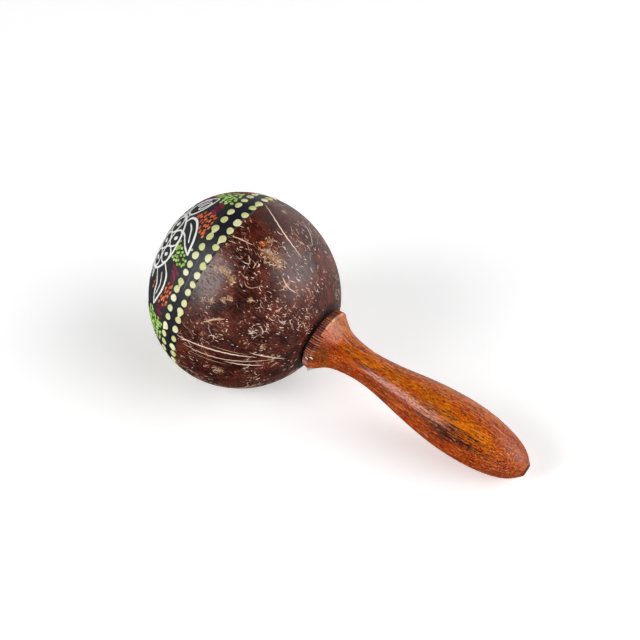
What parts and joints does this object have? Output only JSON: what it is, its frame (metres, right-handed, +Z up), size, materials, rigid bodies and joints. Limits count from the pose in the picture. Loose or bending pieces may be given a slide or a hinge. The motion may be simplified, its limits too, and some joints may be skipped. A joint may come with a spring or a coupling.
{
  "type": "maraca",
  "caption": "Hand-held rattle: a hollow painted coconut shell holding loose seeds, glued on the tenon of a turned wooden handle.",
  "frame": {"origin": "middle of the bottom of the whole maraca's box, on the table it lies on", "axes": "+Z up; +X along the maraca from the painted tip to the handle's end, whose axis slopes 13.1 degrees down towards +X at rest; -Y is the side the front view sees"},
  "size_m": [0.224, 0.1048, 0.1034],
  "materials": {
    "coconut_shell": "lacquered dark brown coconut shell with pale fibre flecks",
    "stained_wood": "orange-red stained turned hardwood under gloss varnish",
    "dark_filler": "dark brown-black filler paste, dull",
    "clear_glue": "dried translucent glue, off-white, semi-gloss",
    "seed_coat": "hard dark brown seed coat, satin",
    "black_paint": "black acrylic ground coat, satin",
    "cream_paint": "raised cream-yellow paint dots",
    "white_paint": "raised white paint lines",
    "green_paint": "raised leaf-green paint dots",
    "orange_paint": "raised orange paint strokes",
    "maroon_paint": "raised maroon paint strokes",
    "pink_paint": "raised magenta paint dots"
  },
  "bodies": {
    "maraca": {"coconut_shell": "coconut_shell", "handle": "stained_wood", "joint_filler": "dark_filler", "tenon_glue": "clear_glue", "glue_squeeze_out": "clear_glue"},
    "seed_01": {"seed_01": "seed_coat"},
    "seed_02": {"seed_02": "seed_coat"},
    "seed_03": {"seed_03": "seed_coat"},
    "seed_04": {"seed_04": "seed_coat"},
    "seed_05": {"seed_05": "seed_coat"},
    "seed_06": {"seed_06": "seed_coat"},
    "seed_07": {"seed_07": "seed_coat"},
    "seed_08": {"seed_08": "seed_coat"},
    "seed_09": {"seed_09": "seed_coat"},
    "seed_10": {"seed_10": "seed_coat"},
    "seed_11": {"seed_11": "seed_coat"},
    "seed_12": {"seed_12": "seed_coat"},
    "seed_13": {"seed_13": "seed_coat"},
    "seed_14": {"seed_14": "seed_coat"},
    "seed_15": {"seed_15": "seed_coat"},
    "seed_16": {"seed_16": "seed_coat"},
    "seed_17": {"seed_17": "seed_coat"},
    "seed_18": {"seed_18": "seed_coat"},
    "seed_19": {"seed_19": "seed_coat"},
    "seed_20": {"seed_20": "seed_coat"},
    "seed_21": {"seed_21": "seed_coat"},
    "seed_22": {"seed_22": "seed_coat"},
    "seed_23": {"seed_23": "seed_coat"},
    "seed_24": {"seed_24": "seed_coat"},
    "seed_25": {"seed_25": "seed_coat"},
    "seed_26": {"seed_26": "seed_coat"},
    "seed_27": {"seed_27": "seed_coat"},
    "seed_28": {"seed_28": "seed_coat"},
    "seed_29": {"seed_29": "seed_coat"},
    "seed_30": {"seed_30": "seed_coat"},
    "seed_31": {"seed_31": "seed_coat"},
    "seed_32": {"seed_32": "seed_coat"},
    "seed_33": {"seed_33": "seed_coat"},
    "seed_34": {"seed_34": "seed_coat"},
    "seed_35": {"seed_35": "seed_coat"},
    "seed_36": {"seed_36": "seed_coat"},
    "seed_37": {"seed_37": "seed_coat"}
  },
  "joints": [
    {"name": "seed_01_hop", "type": "slide", "parent": "maraca", "child": "seed_01", "axis": [0, 0, 1], "range_m": [0, 0.07]},
    {"name": "seed_02_hop", "type": "slide", "parent": "maraca", "child": "seed_02", "axis": [0, 0, 1], "range_m": [0, 0.0714]},
    {"name": "seed_03_hop", "type": "slide", "parent": "maraca", "child": "seed_03", "axis": [0, 0, 1], "range_m": [0, 0.0699]},
    {"name": "seed_04_hop", "type": "slide", "parent": "maraca", "child": "seed_04", "axis": [0, 0, 1], "range_m": [0, 0.0756]},
    {"name": "seed_05_hop", "type": "slide", "parent": "maraca", "child": "seed_05", "axis": [0, 0, 1], "range_m": [0, 0.0789]},
    {"name": "seed_06_hop", "type": "slide", "parent": "maraca", "child": "seed_06", "axis": [0, 0, 1], "range_m": [0, 0.0788]},
    {"name": "seed_07_hop", "type": "slide", "parent": "maraca", "child": "seed_07", "axis": [0, 0, 1], "range_m": [0, 0.0763]},
    {"name": "seed_08_hop", "type": "slide", "parent": "maraca", "child": "seed_08", "axis": [0, 0, 1], "range_m": [0, 0.0778]},
    {"name": "seed_09_hop", "type": "slide", "parent": "maraca", "child": "seed_09", "axis": [0, 0, 1], "range_m": [0, 0.0826]},
    {"name": "seed_10_hop", "type": "slide", "parent": "maraca", "child": "seed_10", "axis": [0, 0, 1], "range_m": [0, 0.0838]},
    {"name": "seed_11_hop", "type": "slide", "parent": "maraca", "child": "seed_11", "axis": [0, 0, 1], "range_m": [0, 0.0833]},
    {"name": "seed_12_hop", "type": "slide", "parent": "maraca", "child": "seed_12", "axis": [0, 0, 1], "range_m": [0, 0.0794]},
    {"name": "seed_13_hop", "type": "slide", "parent": "maraca", "child": "seed_13", "axis": [0, 0, 1], "range_m": [0, 0.0834]},
    {"name": "seed_14_hop", "type": "slide", "parent": "maraca", "child": "seed_14", "axis": [0, 0, 1], "range_m": [0, 0.086]},
    {"name": "seed_15_hop", "type": "slide", "parent": "maraca", "child": "seed_15", "axis": [0, 0, 1], "range_m": [0, 0.0868]},
    {"name": "seed_16_hop", "type": "slide", "parent": "maraca", "child": "seed_16", "axis": [0, 0, 1], "range_m": [0, 0.0845]},
    {"name": "seed_17_hop", "type": "slide", "parent": "maraca", "child": "seed_17", "axis": [0, 0, 1], "range_m": [0, 0.0821]},
    {"name": "seed_18_hop", "type": "slide", "parent": "maraca", "child": "seed_18", "axis": [0, 0, 1], "range_m": [0, 0.0858]},
    {"name": "seed_19_hop", "type": "slide", "parent": "maraca", "child": "seed_19", "axis": [0, 0, 1], "range_m": [0, 0.0878]},
    {"name": "seed_20_hop", "type": "slide", "parent": "maraca", "child": "seed_20", "axis": [0, 0, 1], "range_m": [0, 0.0865]},
    {"name": "seed_21_hop", "type": "slide", "parent": "maraca", "child": "seed_21", "axis": [0, 0, 1], "range_m": [0, 0.0837]},
    {"name": "seed_22_hop", "type": "slide", "parent": "maraca", "child": "seed_22", "axis": [0, 0, 1], "range_m": [0, 0.0832]},
    {"name": "seed_23_hop", "type": "slide", "parent": "maraca", "child": "seed_23", "axis": [0, 0, 1], "range_m": [0, 0.0865]},
    {"name": "seed_24_hop", "type": "slide", "parent": "maraca", "child": "seed_24", "axis": [0, 0, 1], "range_m": [0, 0.0864]},
    {"name": "seed_25_hop", "type": "slide", "parent": "maraca", "child": "seed_25", "axis": [0, 0, 1], "range_m": [0, 0.0847]},
    {"name": "seed_26_hop", "type": "slide", "parent": "maraca", "child": "seed_26", "axis": [0, 0, 1], "range_m": [0, 0.0776]},
    {"name": "seed_27_hop", "type": "slide", "parent": "maraca", "child": "seed_27", "axis": [0, 0, 1], "range_m": [0, 0.0825]},
    {"name": "seed_28_hop", "type": "slide", "parent": "maraca", "child": "seed_28", "axis": [0, 0, 1], "range_m": [0, 0.0838]},
    {"name": "seed_29_hop", "type": "slide", "parent": "maraca", "child": "seed_29", "axis": [0, 0, 1], "range_m": [0, 0.0837]},
    {"name": "seed_30_hop", "type": "slide", "parent": "maraca", "child": "seed_30", "axis": [0, 0, 1], "range_m": [0, 0.079]},
    {"name": "seed_31_hop", "type": "slide", "parent": "maraca", "child": "seed_31", "axis": [0, 0, 1], "range_m": [0, 0.0757]},
    {"name": "seed_32_hop", "type": "slide", "parent": "maraca", "child": "seed_32", "axis": [0, 0, 1], "range_m": [0, 0.0784]},
    {"name": "seed_33_hop", "type": "slide", "parent": "maraca", "child": "seed_33", "axis": [0, 0, 1], "range_m": [0, 0.0794]},
    {"name": "seed_34_hop", "type": "slide", "parent": "maraca", "child": "seed_34", "axis": [0, 0, 1], "range_m": [0, 0.076]},
    {"name": "seed_35_hop", "type": "slide", "parent": "maraca", "child": "seed_35", "axis": [0, 0, 1], "range_m": [0, 0.0699]},
    {"name": "seed_36_hop", "type": "slide", "parent": "maraca", "child": "seed_36", "axis": [0, 0, 1], "range_m": [0, 0.0714]},
    {"name": "seed_37_hop", "type": "slide", "parent": "maraca", "child": "seed_37", "axis": [0, 0, 1], "range_m": [0, 0.0707]}
  ]
}
